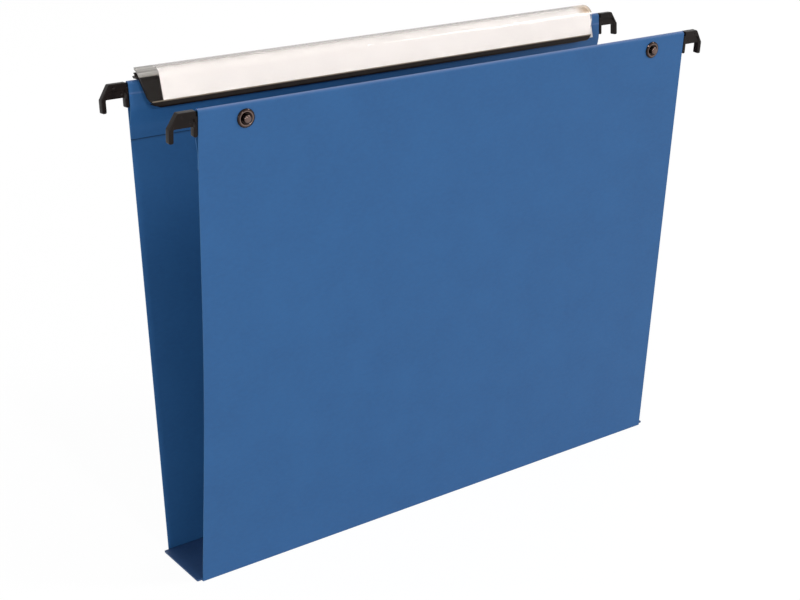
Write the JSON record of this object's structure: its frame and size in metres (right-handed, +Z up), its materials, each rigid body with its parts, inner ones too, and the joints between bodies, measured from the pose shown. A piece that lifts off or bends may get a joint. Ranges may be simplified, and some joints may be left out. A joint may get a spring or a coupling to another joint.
{
  "type": "hanging file folder",
  "caption": "Card hanging file with a flat base, railed hems with runner hooks, press studs on the panels and a full-width label holder with a sliding domed clear cover.",
  "frame": {"origin": "middle of the underside of the base", "axes": "+X along the creases, to the right seen from the front; -Y out of the front panel; +Z up"},
  "size_m": [0.3452, 0.0808, 0.2616],
  "materials": {
    "card": "matte dyed card with a fine fibre",
    "board": "matte dyed board",
    "rail_steel": "zinc plated",
    "black_plastic": "satin moulded",
    "stud_metal": "glossy dark bronze",
    "clear_plastic": "clear extruded",
    "paper": "white uncoated"
  },
  "bodies": {
    "base": {"base_card": "card", "base_board": "board"},
    "front_side": {"front_panel": "card", "front_rail": "rail_steel", "front_left_hook": "black_plastic", "front_left_stud": "stud_metal", "front_left_stud_rivet": "stud_metal", "front_right_hook": "black_plastic", "front_right_stud": "stud_metal", "front_right_stud_rivet": "stud_metal"},
    "back_side": {"back_panel": "card", "back_rail": "rail_steel", "back_left_hook": "black_plastic", "back_left_socket": "stud_metal", "back_left_socket_spring": "rail_steel", "back_left_socket_rivet": "stud_metal", "back_right_hook": "black_plastic", "back_right_socket": "stud_metal", "back_right_socket_spring": "rail_steel", "back_right_socket_rivet": "stud_metal", "label_holder": "black_plastic"},
    "cover": {"label_cover": "clear_plastic"},
    "strip": {"label_strip": "paper"}
  },
  "joints": [
    {"name": "front_fold", "type": "hinge", "parent": "base", "child": "front_side", "pos_m": [0, -0.019, 0.00025], "axis": [1, 0, 0], "range_deg": [-6.6, 84.5]},
    {"name": "back_fold", "type": "hinge", "parent": "base", "child": "back_side", "pos_m": [0, 0.019, 0.00025], "axis": [-1, 0, 0], "range_deg": [-6.6, 84.5]},
    {"name": "cover_slide", "type": "slide", "parent": "back_side", "child": "cover", "axis": [-1, 0, 0], "range_m": [0, 0.305]},
    {"name": "strip_slide", "type": "slide", "parent": "back_side", "child": "strip", "axis": [-1, 0, 0], "range_m": [0, 0.305]}
  ]
}
